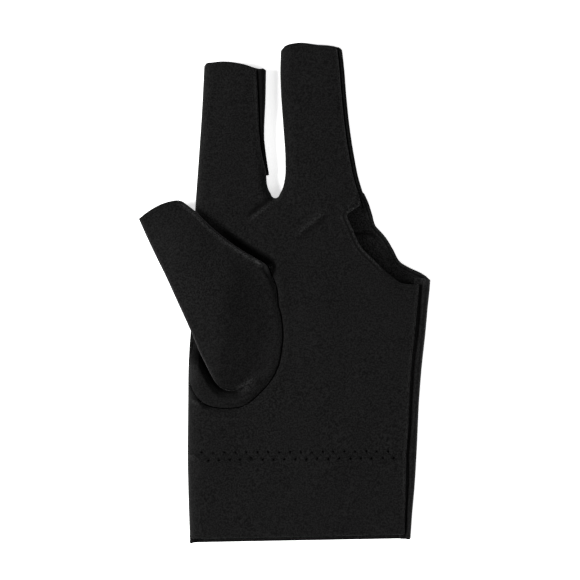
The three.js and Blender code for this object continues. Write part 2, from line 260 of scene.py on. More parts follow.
indexStripStart = 0.167
indexRightLow = fingerEdge(indexFinger, 1, 0.03, indexStripStart)
indexRight, indexStrip = fingerStrip(indexFinger, -0.2, indexStripStart)
middleLeft = fingerEdge(middleFinger, -1, 0.03, 1)
crotchBend = [
    middleLeft[0], (-9, crotch + 0.2), (-10.1, crotch - 0.3), (-11.3, crotch + 0.2), indexRightLow[0],
]
crotchBend = curveThrough(crotchBend, 0.5)[1:-1]
betweenEdge = np.concatenate([middleLeft[::-1], crotchBend, indexRightLow, indexRight[1:]])
middleRight, middleStrip = fingerStrip(middleFinger, 0.35, 0.05)
middleStrip = np.clip(middleStrip, 0, 1.35)
handRight = handEdge("right", 0.8, 0.759 * size["handLength"])
# How far in from the right edge the palm's edge lies, and how wide the back's strip is beside it.
sideSeam = {
    "at": [0, 4.5, 13.7, 24, 35.7, 44.7, 50.6, 61, 76, 92, 105],
    "palm": [2.7, 2.8, 3.4, 4, 4.5, 4.2, 4.15, 4.4, 4.6, 4.6, 4.6],
    "strip": [1.8, 1.95, 2.35, 2.7, 3.8, 3.3, 3.05, 3.1, 3.1, 3.2, 3.9],
}
handStrip = np.interp(handRight[:, 1], sideSeam["at"], sideSeam["strip"])
foldLines = [leftEdge, betweenEdge, middleRight, handRight]


# How high the sleeves stand, from the cuff to the fingertips.
def heightAt(y):
    hand = size["handHeight"] * (1 - 0.07 * smoothStep(y, crotch - 24, crotch))
    finger = smoothStep((y - crotch) / size["indexLength"], -0.05, 0.35)
    return hand + (size["fingerHeight"] - hand) * finger


# From 0 at a turned edge to 1 where the cloth lies level.
def edgeRise(points):
    side = heightAt(points[:, 1]) / 2 * 1.15
    away = distanceToAny(points, foldLines)
    return np.clip(away / side, 0, 1), away


# Two rows of needle holes across the cuff, half a stitch apart, which rise a little to the
# right, and the zigzag thread between them.
cuffStitch = {
    "y": 33.4,
    "gap": 2.9,
    "slope": 0.0083,
    "pitch": 4.47,
    "first": -37.6,
    "last": 42,
    "uneven": 0.12,
    "thread": 0.1,
    "lift": 0.1,
    "depth": 1.0,
    "sides": 16,  # how many lengths of thread to a stitch
}


# How far up the lower row runs.
def stitchLine(x):
    return cuffStitch["y"] + cuffStitch["slope"] * (x + 37)


# The middles of the needle holes across the cuff.
def holeSpots():
    step = cuffStitch["pitch"]
    low = np.arange(cuffStitch["first"], cuffStitch["last"] + 0.5, step)
    high = low - step / 2
    spots = np.concatenate(
        [np.stack([low, stitchLine(low)], 1), np.stack([high, stitchLine(high) + cuffStitch["gap"]], 1)]
    )
    return spots + np.random.default_rng(3).normal(0, cuffStitch["uneven"], spots.shape)


# The seam round the thumb: the part that shows, from the end of the thumb's right fold down
# and round to the left edge, and then the part that the thumb hides.
thumb = {
    "seamShown": [
        (-13.1, 112.3), (-11.5, 108.2), (-10, 104.6), (-9.4, 101.3), (-9, 96.4), (-8, 92.7), (-7.4, 88.2),
        (-7.2, 83.2), (-7.8, 78.3), (-8.6, 73.4), (-10.3, 68.9),
    ],
    "seamLeft": [
        (-10.3, 68.9), (-12.7, 65.2), (-16.4, 61.1), (-20.5, 57.4), (-23.8, 55.5), (-28.7, 54.7),
        (-33.6, 54.9), (-37.7, 55.8), (-41, 57.8), (-43.5, 61.1), (-45.2, 64.6), (-45.8, 69),
        (-45.3, 80), (-44.6, 92), (-42.6, 101), (-37, 106.5), (-28, 110), (-20, 111.2),
        (-15.5, 111.8), (-13.1, 112.3),
    ],
    "seamLeftSeen": 12,  # how many of these show
    "rightFold": [
        (-48, 139), (-42.6, 134.9), (-38.1, 130.4), (-30.3, 123.8), (-23.8, 119.3), (-17.2, 115.4),
        (-14, 113.3), (-13.1, 112.3),
    ],
    "leftFold": [
        (-66, 132), (-64, 127.5), (-59, 116.9), (-54.9, 108.7), (-50, 98), (-45.9, 89), (-43.9, 84.5),
        (-41.4, 78.3), (-39, 73.4), (-36.5, 68.5), (-34.4, 65), (-32, 62.7), (-29.2, 61.8),
        (-26, 61.9), (-23.2, 63.2), (-20.6, 65), (-18.2, 66.6), (-14.6, 68.2), (-10.3, 68.9),
    ],
    "tip": [(-48, 139), (-50, 139.3), (-53.3, 138.8), (-57.4, 137.4), (-61.5, 135.2), (-66, 132)],
    "roll": 1.6,
    "dip": 5.6,
    "tipHeight": 0.6,
    "restHeight": 0.8,
    "overhang": 2.8,
    "puff": (1.2, 2, 0.8),  # at the tip, how much it grows, and how much it shrinks to the seam
    "lowerPuff": 1.4,
    "hiddenSeam": [(-25, 80), (-29, 95), (-23, 108)],
    "gussetEdge": [(-22, 70.5), (-26.5, 74), (-30, 80), (-33.5, 88), (-37, 97), (-41.5, 101.5)],
    "sink": 3.4,  # how far the hidden layer lies below the seam
    "foldEnd": 0.87,  # where along the left fold its two layers become one
    "rows": 170,
    "columns": 80,
    "calming": 8,
    "spacing": 0.8,
    "foldCrease": [(-25.2, 62.5), (-18.6, 66.8)],
    # The next five are painted light and shade on the thumb's colour.
    "rimHighlight": [(1.5, 1, 0.85)],
    "foldHighlight": [(0.6, 0, 0.6)],
    "turnedShade": [(0.9, 0, 0.55)],
    "creaseHighlight": (1.1, 0.8),
    "dipShade": 1.4,
}
seamStart = curveThrough(thumb["seamShown"], 0.6)[:-1]
seamLoop = np.concatenate([seamStart, curveThrough(thumb["seamLeft"], 0.6)[:-1]])
seamSeen = np.concatenate([seamStart, curveThrough(thumb["seamLeft"][: thumb["seamLeftSeen"]], 0.6)])
rightFold = curveThrough(thumb["rightFold"], 0.4)
leftFold = curveThrough(thumb["leftFold"], 0.4)


# The hole in the palm, which runs out over its left edge.
def seamHole(grow):
    hole = seamLoop + leftOfLoop(seamLoop) * grow
    beyond = (hole[:, 0] < leftAt(hole[:, 1]) + 0.7) & (hole[:, 1] < 100)
    hole[beyond, 0] -= 4
    return hole


# A crease from one place to another that fades at its ends.
def ridge(points, start, end, rise, reach, lean=0.0):
    start, end = np.array(start, float), np.array(end, float)
    run = end - start
    long = np.linalg.norm(run)
    along = ((points - start) @ run) / long**2
    away = ((points - start) @ np.array([-run[1], run[0]])) / long
    fade = smoothStep(along, -0.25, 0.2) * (1 - smoothStep(along, 0.7, 1.25))
    top = bell(away, 0, reach)
    dip = bell(away, 1.7 * reach, 1.3 * reach)
    return rise * fade * (top - lean * dip)


swellRandom = np.random.default_rng(7)
swellWaves = [
    [swellRandom.uniform(low, high) for low, high in ((0.14, 0.42), (0, 2 * math.pi), (0, 2 * math.pi))]
    for _ in range(9)
]


# Slow uneven waves, as loose cloth has.
def swell(points, rise):
    total = np.zeros(len(points))
    for rate, heading, phase in swellWaves:
        along = points[:, 0] * math.cos(heading) + points[:, 1] * math.sin(heading)
        total += np.sin(rate * along + phase) / (rate * 3.2)
    return rise * total / 3


palmOpeningLine = curveThrough(palmOpening, 0.5)
backOpeningLine = curveThrough(
    np.array(backOpening) * (size["palmWidth"], size["handLength"]), 0.6
)
# Creases of the palm: rise, reach and lean shape the cloth, and lit is how strongly each ridge is painted
# lighter as a highlight.
creases = [
    {"start": (-19.5, 132.6), "end": (-8.6, 141), "rise": 1.4, "reach": 0.9, "lean": 0.8, "lit": 1.1},
    {"start": (10.2, 134.9), "end": (-0.5, 126), "rise": 0.9, "reach": 1.0, "lean": 0.6, "lit": 0.7},
    {"start": (-44, 57.6), "end": (-37.6, 53.9), "rise": 0.8, "reach": 0.7, "lean": 0.3, "lit": 1.3},
    {"start": (-39, 50.4), "end": (-24, 50.2), "rise": 0.35, "reach": 1.1, "lean": 0.8, "lit": 0.15},
    {"start": (-37, 47.4), "end": (-26, 47.8), "rise": 0.22, "reach": 1.1, "lean": 0.8, "lit": 0.1},
    {"start": (-45.4, 35.2), "end": (-41.2, 33.6), "rise": 0.7, "reach": 0.6, "lean": 0.7, "lit": 0.7},
]


# Small gathers across the hem where the opening meets the middle finger.
def pucker(points):
    start, run = np.array([19.6, 133.9]), np.array([0.7, 0.714])
    along = (points - start) @ run
    band = bell(distanceTo(points, palmOpeningLine), 0.9, 0.8)
    fade = smoothStep(along, -0.6, 0.6) * (1 - smoothStep(along, 6.5, 8))
    return band * np.sin(2 * math.pi * along / 1.5) * fade


# The palm cloth. Rows of three are a rise, how far from the line it lies, and its reach.
palm = {
    "spacing": 0.85,
    "clear": 0.75,  # between the palm's edge and the back's strip beside it
    "bottom": 1.2,
    "holeGrow": 0.5,
    "fingerDome": 0.25,
    "thumbSeam": [(-0.55, 0, 0.8), (0.22, 2.4, 1.4)],
    "besideThumb": 4.8,
    "thumbCrease": (0.9, 1.0, 0.3),
    "pucker": 0.3,
    "cuffStitch": [(-0.22, 0, 1.9), (0.1, 3.8, 1.4)],
    "cuffLayer": 0.12,
    "cuffWave": 0.06,
    "openingLayer": 0.3,
    "openingStitch": [(-0.2, 1.7, 0.45)],
    "swell": 0.16,
    "sideEdge": [(0.3, 0.5, 0.45), (-0.35, 0, 0.35)],
    "cutEdge": [(-0.2, 0, 0.4)],
}
# Where the palm's colour is painted lighter as highlights or darker as shade, in the same rows of three.
palmPaintedLight = {
    "seam": [(1, 0.35, 0.4)],
    "edge": [(1.5, 0.25, 0.33)],
    "stitch": [(0.75, 2.1, 0.35)],
    "groove": [(0.6, 1.3, 0.35)],
    "corner": [(0.3, 0, 2.4)],
    "pucker": 0.6,
    "leftEdge": [(0.35, 0, 0.8)],
    "besideThumb": 0.75,
    "needle": 1.5,
}
# The darkest that painted shade makes the cloth.
darkestPaintedShade = -0.62


# Rolled seams, the sewn-down hems and the creases of the palm cloth.
def palmRelief(points, whole):
    x, y = points[:, 0], points[:, 1]
    rise, away = edgeRise(points)
    total = size["palmDome"] * smoothStep(away, 3, 42) * (1 - smoothStep(y, crotch - 20, crotch))
    total += palm["fingerDome"] * smoothStep(away, 3, 12) * smoothStep(y, crotch - 12, crotch)
    total += bells(distanceTo(points, seamSeen), palm["thumbSeam"])
    if whole:
        share, _ = besideLine(points, rightFold)
        beside = 1 - smoothStep(distanceTo(points, rightFold), 0.7, 4.6)
        total -= palm["besideThumb"] * smoothStep(share, 0.33, 0.6) * beside
    for crease in creases:
        total += ridge(points, *(crease[key] for key in ("start", "end", "rise", "reach", "lean")))
    total += ridge(points, *thumb["foldCrease"], *palm["thumbCrease"])
    total += palm["pucker"] * pucker(points)
    stitch = y - stitchLine(x) - cuffStitch["gap"] / 2
    total += bells(stitch, palm["cuffStitch"]) + palm["cuffLayer"] * (1 - smoothStep(stitch, -3.5, -1.5))
    total += palm["cuffWave"] * np.sin(2 * math.pi * x / cuffStitch["pitch"]) * bell(stitch, 0, 4)
    opening = distanceTo(points, palmOpeningLine)
    total += palm["openingLayer"] * (1 - smoothStep(opening, 1.2, 2))
    total += bells(opening, palm["openingStitch"])
    total += swell(points, palm["swell"])
    return total * rise**2


def palmHeight(points, whole=True):
    rise, _ = edgeRise(points)
    half = heightAt(points[:, 1]) / 2
    return half + half * np.sqrt(1 - (1 - rise) ** 2) + palmRelief(points, whole)


back = {
    "spacing": 1.3,
    "swell": 2.8,
    "fold": [(22.5, 124.5), (35, 123.6)],
    "shade": [(22.6, 126.1), (34, 125)],
    "past": (0, 0.45),  # how far its finger ends reach past the palm's
    "drop": {"hand": 1.1, "finger": 0.5},
    # The next four are painted light and shade on the back's colour.
    "edgeHighlight": [(0.35, 0.9, 0.3)],
    "cornerHighlight": [(0.9, 0, 1.7)],
    "besideIndex": 0.45,
    "insideLight": 0.45,
}


# The back cloth swells up behind the side opening, with a soft fold across it.
def backRelief(points):
    behind = distanceTo(points, palmOpeningLine)
    free = distanceTo(points, backOpeningLine)
    near = (1 - smoothStep(behind, 1, 11)) * smoothStep(free, -1, 6)
    fold = ridge(points, *back["fold"], 1.4, 1.3, 0.9) - 0.8 * smoothStep(points[:, 1], 123, 126)
    return (back["swell"] + fold) * near


def backHeight(points):
    rise, _ = edgeRise(points)
    half = heightAt(points[:, 1]) / 2
    return half - half * np.sqrt(1 - (1 - rise) ** 2)


# Where the rows of points run: in degrees round a turned edge, the others in millimetres away.
meshRows = {
    "turned": (12, 24, 36, 48, 60, 74),
    "cut": (0.25, 0.6, 1.0, 1.4, 1.8, 2.3),
    "hole": (0.4, 0.9, 1.5),
    "needle": (0.24, 0.42, 0.7),
    "clearOfNeedle": 0.95,
    "clearOfEdge": 1.2,
    "clearOfFold": 3.5,
}


# A flat mesh inside an outline, whose parts are folds or cuts: rows beside its edges, and an
# even field between.
def triangulate(parts, spacing, hole=None, spots=None):
    loop = np.concatenate([part for part, _ in parts])
    fold = np.concatenate([np.full(len(part), label == "fold") for part, label in parts])
    count = len(loop)
    closed = np.concatenate([loop, loop[:1]])
    side = leftOfLoop(loop)
    kept = []
    reach = heightAt(loop[:, 1]) / 2 * 1.15

    def addRow(base, away, direction):
        row = base + direction * away[:, None]
        row = row[insideOf(row, loop)]
        gap = distanceTo(row, closed)
        near = away.min() if len(away) else 0
        kept.append(row[gap > 0.93 * near])

    for turn in meshRows["turned"]:
        addRow(loop[fold], reach[fold] * (1 - math.cos(math.radians(turn))), side[fold])
    for away in meshRows["cut"]:
        addRow(loop[~fold], np.full((~fold).sum(), away), side[~fold])
    if hole is not None:
        for away in meshRows["hole"]:
            row = hole - leftOfLoop(hole) * away
            row = row[insideOf(row, loop)]
            kept.append(row[distanceTo(row, closed) > meshRows["clearOfEdge"]])
    low, high = loop.min(0), loop.max(0)
    columns = np.arange(low[0], high[0], spacing)
    rows = np.arange(low[1], high[1], spacing * 0.866)
    gridX, gridY = np.meshgrid(columns, rows)
    gridX = gridX + (np.arange(len(rows)) % 2)[:, None] * spacing / 2
    field = np.stack([gridX.ravel(), gridY.ravel()], 1)
    field = field[insideOf(field, loop)]
    away = distanceTo(field, closed)
    nearFold = distanceToAny(field, [part for part, label in parts if label == "fold"])
    keep = away > meshRows["cut"][-1] + spacing * 0.45
    keep &= nearFold > meshRows["clearOfFold"] + spacing * 0.45
    if hole is not None:
        beside = distanceTo(field, np.concatenate([hole, hole[:1]]))
        keep &= ~insideOf(field, hole) & (beside > meshRows["hole"][-1] + spacing * 0.4)
    kept.append(field[keep])
    if spots is not None:
        turn = np.linspace(0, 2 * math.pi, 8, endpoint=False)
        circle = np.stack([np.cos(turn), np.sin(turn)], 1)
        body = np.concatenate(kept)
        far = nearestIn(spots, body)[1] > meshRows["clearOfNeedle"]
        kept = [body[far], spots]
        for ringAt in meshRows["needle"]:
            kept.append((spots[:, None] + circle[None] * ringAt).reshape(-1, 2))
    points = [tuple(p) for p in loop]
    edges = [(i, (i + 1) % count) for i in range(count)]
    if hole is not None:
        start = len(points)
        points += [tuple(p) for p in hole]
        edges += [(start + i, start + (i + 1) % len(hole)) for i in range(len(hole))]
    points += [tuple(p) for p in np.concatenate(kept)]
    made, _, faces, _, _, _ = delaunay_2d_cdt(points, edges, [], 0, 1e-5)
    made = np.array([tuple(p) for p in made])
    faces = np.array([f for f in faces if len(f) == 3])
    middle = made[faces].mean(1)
    keep = insideOf(middle, loop)
    if hole is not None:
        keep &= ~insideOf(middle, hole)
    faces = faces[keep]
    a, b, c = made[faces[:, 0]], made[faces[:, 1]], made[faces[:, 2]]
    area = (b[:, 0] - a[:, 0]) * (c[:, 1] - a[:, 1]) - (b[:, 1] - a[:, 1]) * (c[:, 0] - a[:, 0])
    faces[area < 0] = faces[area < 0][:, ::-1]
    return tidy(made, faces[np.abs(area) > 1e-7])


# Merges points that share a place and drops those that no face uses.
def tidy(points, faces):
    _, first, which = np.unique(np.round(points, 4), axis=0, return_index=True, return_inverse=True)
    points, faces = points[first], which.reshape(-1)[faces]
    faces = faces[(faces != np.roll(faces, 1, axis=1)).all(1)]
    used, faces = np.unique(faces, return_inverse=True)
    return points[used], faces.reshape(-1, 3)


# Triangles over rows of points, closed across the rows if wrap is set.
def gridFaces(rows, columns, wrap=False):
    i, j = np.meshgrid(np.arange(rows - 1), np.arange(columns if wrap else columns - 1), indexing="ij")
    i, j = i.ravel(), j.ravel()
    k = (j + 1) % columns
    a, b, c, d = i * columns + j, i * columns + k, (i + 1) * columns + k, (i + 1) * columns + j
    return np.concatenate([np.stack([a, b, c], 1), np.stack([a, c, d], 1)])


def pointNormals(points, faces):
    a, b, c = points[faces[:, 0]], points[faces[:, 1]], points[faces[:, 2]]
    face = np.cross(b - a, c - a)
    total = np.zeros_like(points)
    for k in range(3):
        np.add.at(total, faces[:, k], face)
    return total / np.maximum(np.linalg.norm(total, axis=1), 1e-12)[:, None]


# A closed piece of cloth behind a face, with rounded edges.
def thicken(points, faces, thick, bulge):
    normal = pointNormals(points, faces)
    inner = points - normal * thick
    count = len(points)
    edges = np.concatenate([faces[:, [0, 1]], faces[:, [1, 2]], faces[:, [2, 0]]])
    known = set(map(tuple, edges))
    rim = np.array([e for e in map(tuple, edges) if (e[1], e[0]) not in known])
    outward = np.zeros_like(points)
    for a, b in rim:
        out = np.cross(points[b] - points[a], normal[a] + normal[b])
        outward[a] += out
        outward[b] += out
    members = np.unique(rim)
    outward[members] /= np.maximum(np.linalg.norm(outward[members], axis=1), 1e-12)[:, None]
    place = np.full(count, -1)
    place[members] = np.arange(len(members))
    swellBy = bulge[members][:, None] if np.ndim(bulge) else bulge
    bands = [
        points[members]
        - normal[members] * thick * (1 - math.cos(turn)) / 2
        + outward[members] * swellBy * math.sin(turn)
        for turn in (math.pi / 4, math.pi / 2, 3 * math.pi / 4)
    ]
    every = np.concatenate([points, inner, *bands])
    sheets = [faces, faces[:, ::-1] + count]
    a, b = rim[:, 0], rim[:, 1]
    rows = [(a, b)]
    for k in range(3):
        start = 2 * count + k * len(members)
        rows.append((start + place[a], start + place[b]))
    rows.append((a + count, b + count))
    for (a0, b0), (a1, b1) in zip(rows, rows[1:]):
        sheets += [np.stack([b0, a0, a1], 1), np.stack([b0, a1, b1], 1)]
    return every, np.concatenate(sheets)


# A mesh from points in millimetres; lit gives where its colour is painted lighter as a highlight or darker
# as shade.
def pieceFrom(name, points, faces, lit=None):
    mesh = bpy.data.meshes.new(name)
    place = (points + toObject) / 1000
    mesh.vertices.add(len(place))
    mesh.vertices.foreach_set("co", place.astype(np.float32).ravel())
    mesh.loops.add(len(faces) * 3)
    mesh.loops.foreach_set("vertex_index", faces.astype(np.int32).ravel())
    mesh.polygons.add(len(faces))
    mesh.polygons.foreach_set("loop_start", np.arange(0, len(faces) * 3, 3, dtype=np.int32))
    mesh.update(calc_edges=True)
    mesh.validate()
    mesh.shade_smooth()
    share = np.zeros(len(points)) if lit is None else lit(points)
    mesh.attributes.new("paintedLight", "FLOAT", "POINT").data.foreach_set("value", share.astype(np.float32))
    piece = bpy.data.objects.new(name, mesh)
    bpy.context.scene.collection.objects.link(piece)
    print(name, len(mesh.polygons), "triangles")
    return piece


# The palm cloth with the palm halves of both finger sleeves.
def palmPanel():
    side = handEdge("right", 2.9, 104.7)
    side[:, 0] -= np.interp(side[:, 1], sideSeam["at"], sideSeam["palm"])
    bottomLeft = np.array([handEdge("left", palm["bottom"], palm["bottom"] + 0.1)[0]])
    bottom = np.linspace(bottomLeft[0], side[0], 130)[:-1]
    opening = palmOpeningLine[1:-1]
    middleSeam = middleRight + inward(middleRight) * (middleStrip + palm["clear"])[:, None]
    middleSeam = middleSeam[middleSeam[:, 1] > palmOpeningLine[-1, 1] + 0.4]
    clear = palm["clear"] * smoothStep(indexStrip, 0, 1)
    indexSeam = indexRight + inward(indexRight) * (indexStrip + clear)[:, None]
    middleEnd = fingerTop(middleFinger, middleSeam[-1, 0], middleLeft[-1, 0])
    indexEnd = fingerTop(indexFinger, indexSeam[-1, 0], leftEdge[-1, 0])
    left = leftEdge[leftEdge[:, 1] > 1.6][::-1]
    parts = [
        (bottom, "cut"),
        (side, "cut"),
        (opening, "cut"),
        (middleSeam, "cut"),
        (middleEnd[1:-1], "cut"),
        (middleLeft[::-1], "fold"),
        (crotchBend, "fold"),
        (indexRightLow, "fold"),
        (indexSeam[1:], "cut"),
        (indexEnd[1:-1], "cut"),
        (left, "fold"),
    ]
    spots = holeSpots()
    flat, faces = triangulate(parts, palm["spacing"], seamHole(palm["holeGrow"]), spots)
    height = palmHeight(flat)
    _, deep = nearestIn(spots, flat)
    height -= cuffStitch["depth"] * (1 - smoothStep(deep, 0.22, 0.58))
    rise, _ = edgeRise(flat)
    seams = distanceToAny(flat, (side, middleSeam, indexSeam))
    ends = distanceToAny(flat, (bottom, opening, middleEnd, indexEnd))
    height += (bells(seams, palm["sideEdge"]) + bells(ends, palm["cutEdge"])) * (rise > 0.1)
    points = np.column_stack([flat, height])
    bulge = np.where((rise < 0.02) | (distanceTo(flat, seamSeen) < 1) | (seams < 0.2), 0.08, 0.3)

    # Painted light on the palm: painted highlights beside its seams, along the opening's edge and stitch
    # line, at the opening's corner, on its gathers, along the left edge and on the creases; painted shade
    # in the opening's groove, beside the thumb's right fold and in the needle holes.
    def lit(every):
        flat = every[:, :2]
        seams = distanceToAny(flat, (side, middleSeam, indexSeam))
        total = bells(seams, palmPaintedLight["seam"])
        edge = distanceTo(flat, opening)
        share, _ = besideLine(flat, opening)
        seen = 1 - smoothStep(flat[:, 0], 29, 36)
        stitched = 0.65 + 0.35 * np.sin(share * 190)
        total = np.maximum(total, seen * bells(edge, palmPaintedLight["edge"]))
        total = np.maximum(total, seen * stitched * bells(edge, palmPaintedLight["stitch"]))
        total -= (0.35 + 0.65 * seen) * bells(edge, palmPaintedLight["groove"])
        corner = np.linalg.norm(flat - [21.5, 136.6], axis=1)
        total += bells(corner, palmPaintedLight["corner"]) + palmPaintedLight["pucker"] * pucker(flat)
        total += bells(distanceTo(flat, leftEdge[leftEdge[:, 1] < 60]), palmPaintedLight["leftEdge"])
        for crease in creases:
            total += crease["lit"] * ridge(flat, crease["start"], crease["end"], 1, crease["reach"], 0.5)
        share, _ = besideLine(flat, rightFold)
        beside = 1 - smoothStep(distanceTo(flat, rightFold), 1.3, 4.6)
        total -= palmPaintedLight["besideThumb"] * beside * smoothStep(share, 0.35, 0.7)
        _, deep = nearestIn(spots, flat)
        total -= palmPaintedLight["needle"] * (1 - smoothStep(deep, 0.25, 0.62))
        return np.maximum(total, darkestPaintedShade) * (every[:, 2] > 3)

    return pieceFrom("palmCloth", *thicken(points, faces, size["cloth"], bulge), lit)


# Cloth that rises from the turned edge and over its top to a seam, and goes on under the palm.
def strip(edge, wide, drop):
    share = 1 - np.cos(np.linspace(0, math.pi / 2, 14))
    hidden = np.array([0.25, 0.6, 1.1, 1.7, 2.4])  # the seam allowance
    into = inward(edge)
    half = heightAt(edge[:, 1])[:, None] / 2
    wide = wide[:, None]
    full = half * 1.15
    side = full + (np.minimum(full, wide * 0.85) - full) * smoothStep(wide, 0.8, 2)
    away = wide * share[None]
    lift = np.sqrt(1 - (1 - np.clip(away / side, 0, 1)) ** 2)
    roll = drop * smoothStep(share, 0, 1)[None] + 0.9 * bell(wide, away, 0.7) * (
        share[None] > 0
    ) * np.clip(wide / 3, 0, 1)
    stitched = edge[:, 1] - cuffStitch["y"] - 2.5
    roll = roll + (0.3 * bell(stitched, 0, 1.3))[:, None] * smoothStep(share, 0, 0.3)[None]
    top = half + half * lift - roll * lift
    under = wide + hidden[None]
    low = half + half * np.sqrt(1 - (1 - np.clip(under / full, 0, 1)) ** 2) - 2
    low = np.minimum(low, top[:, -1:] - 0.3) * (hidden < 0.5) + low * (hidden > 0.5)
    away, z = np.concatenate([away, under], 1), np.concatenate([top, low], 1)
    x = edge[:, 0, None] + into[:, 0, None] * away
    y = edge[:, 1, None] + into[:, 1, None] * away
    return np.stack([x, y, z], 2).reshape(-1, 3), gridFaces(len(edge), away.shape[1])[:, ::-1]


# The back cloth, which turns up round the right of the hand and of both fingers.
def backPanel():
    bottomLeft = handEdge("left", -0.9, 0)[0]
    bottom = np.linspace(bottomLeft, handRight[0], 130)[:-1]
    opening = backOpeningLine[1:-1]
    above = middleRight[:, 1] > backOpeningLine[-1, 1] - 0.5
    middleUp = middleRight[above]
    middleEnd = fingerTop(middleFinger, middleRight[-1, 0], middleLeft[-1, 0]) + back["past"]
    indexEnd = fingerTop(indexFinger, indexRight[-1, 0], leftEdge[-1, 0]) + back["past"]
    left = leftEdge[leftEdge[:, 1] > 0][::-1]
    parts = [
        (bottom, "cut"),
        (handRight, "fold"),
        (opening, "cut"),
        (middleUp, "fold"),
        (middleEnd[1:-1], "cut"),
        (betweenEdge, "fold"),
        (indexEnd[1:-1], "cut"),
        (left, "fold"),
    ]
    flat, faces = triangulate(parts, back["spacing"])
    points = [np.column_stack([flat, backHeight(flat) + backRelief(flat)])]
    every = [faces[:, ::-1]]
    started = len(flat)
    for edge, wide, drop in (
        (handRight, handStrip, back["drop"]["hand"]),
        (middleUp, middleStrip[above], back["drop"]["finger"]),
        (indexRight, indexStrip, back["drop"]["finger"]),
    ):
        stripPoints, stripFaces = strip(edge, wide, drop)
        points.append(stripPoints)
        every.append(stripFaces + started)
        started += len(stripPoints)
    points, faces = tidy(np.concatenate(points), np.concatenate(every))
    half = heightAt(points[:, 1]) / 2
    onFold = (np.abs(points[:, 2] - half) < 0.02) & (
        distanceTo(points[:, :2], np.concatenate([handRight, middleUp])) > 0.05
    )
    onFold &= distanceTo(points[:, :2], indexRight) > 0.05
    bulge = np.where(onFold, 0.08, 0.3)

    # Painted light on the back: painted highlights along the right strip's edge and its top corner, painted
    # shade beside the index strip, and the inside of the opening painted lighter, with a line of painted
    # shade along its fold.
    def lit(every):
        flat = every[:, :2]
        total = bells(distanceTo(flat, handRight), back["edgeHighlight"]) * (every[:, 2] > 5)
        top = np.linalg.norm(flat - handRight[-1] + [1.6, 0.5], axis=1)
        total += bells(top, back["cornerHighlight"]) * (every[:, 2] > 5)
        beside = 1 - smoothStep(distanceTo(flat, indexRight), 2.6, 3.8)
        total -= back["besideIndex"] * beside * (every[:, 2] > 4.5)
        inside = (1 - smoothStep(distanceTo(flat, opening), 12, 20)) * (every[:, 2] < 6)
        return total + inside * (back["insideLight"] - ridge(flat, *back["shade"], 0.9, 0.6))

    return pieceFrom("backCloth", *thicken(points, faces, size["cloth"], bulge), lit)


def placesOn(line, lengths):
    along = lengthAlong(line)
    return np.stack([np.interp(lengths, along, line[:, k]) for k in range(line.shape[1])], 1)


# A line's points at even lengths.
def evenly(line, count):
    return placesOn(line, np.linspace(0, lengthAlong(line)[-1], count))


# A sheet between four edges: start and end across it, first and last along it.
def patch(start, end, first, last, share, startPull, endPull):
    a = share[None, :, None]
    startBow = start - start[0] - share[:, None] * (start[-1] - start[0])
    endBow = end - end[0] - share[:, None] * (end[-1] - end[0])
    straight = (1 - a) * first[:, None] + a * last[:, None]
    return straight + startPull[..., None] * startBow[None] + endPull[..., None] * endBow[None]


def atShares(line, share):
    return placesOn(line, share * lengthAlong(line)[-1])


# The palm's height, kept level past the hand's left edge and under the thumb.
def palmLevel(points):
    inside = points.copy()
    inside[:, 0] = np.maximum(points[:, 0], leftAt(points[:, 1]) + 7)
    return palmHeight(inside, False)


def rollUp(away):
    return np.sqrt(1 - (1 - np.clip(away / thumb["roll"], 0, 1)) ** 2)


# The thumb's folds from its tip (0) to the seam (1), and how far apart its layers lie.
def thumbForm():
    t = np.linspace(0, 1, thumb["rows"])[:, None]
    share = (1 - np.cos(np.linspace(0, math.pi, thumb["columns"]))) / 2
    across = share[None]
    right, left = evenly(rightFold, thumb["rows"]), evenly(leftFold, thumb["rows"])
    opened = smoothStep(t, 0, 0.3)
    raised = thumb["restHeight"] + thumb["overhang"] - thumb["tipHeight"]
    atTip, more, less = thumb["puff"]
    nearEdge = np.abs(1 - 2 * across) ** 3
    fadeEdge = np.where(across < 0.5, 1 - smoothStep(t, 0.93, 1), 1 - smoothStep(t, 0.7, thumb["foldEnd"]))
    return {
        "share": share,
        "right": right,
        "left": left,
        "tip": curveThrough(thumb["tip"], 0.4),
        "centre": thumb["tipHeight"] + raised * opened,
        "puff": atTip + more * opened - less * smoothStep(t, 0.5, 0.95),
        "edge": np.minimum(across, 1 - across) * np.linalg.norm(left - right, axis=1)[:, None],
        "fade": nearEdge * fadeEdge + (1 - nearEdge) * (1 - smoothStep(t, 0.62, 1)),
    }


# The upper layer, which opens out to the seam in the palm.
def thumbUpper(form):
    t = np.linspace(0, 1, thumb["rows"])[:, None]
    share, across = form["share"], form["share"][None]
    end = atShares(curveThrough(thumb["seamShown"], 0.4), share)
    upper = patch(atShares(form["tip"], share), end, form["right"], form["left"], share, 1 - t, t**1.5)
    lift = form["fade"] * (
        form["centre"] + thumb["roll"] * rollUp(form["edge"])
        + form["puff"] * np.sin(math.pi * across) ** 0.9
    )
    flat = upper.reshape(-1, 2)
    level, seamed = (height.reshape(lift.shape) for height in (palmLevel(flat), palmHeight(flat)))
    nearSeam = smoothStep(t, 0.9, 1)
    upper = np.concatenate([upper, (level + nearSeam * (seamed - level) + lift)[..., None]], 2)
    for _ in range(thumb["calming"]):
        calm = (upper[:-2, 1:-1] + upper[2:, 1:-1] + upper[1:-1, :-2] + upper[1:-1, 2:]) / 4
        upper[1:-1, 1:-1] = upper[1:-1, 1:-1] * 0.5 + calm * 0.5
    return upper


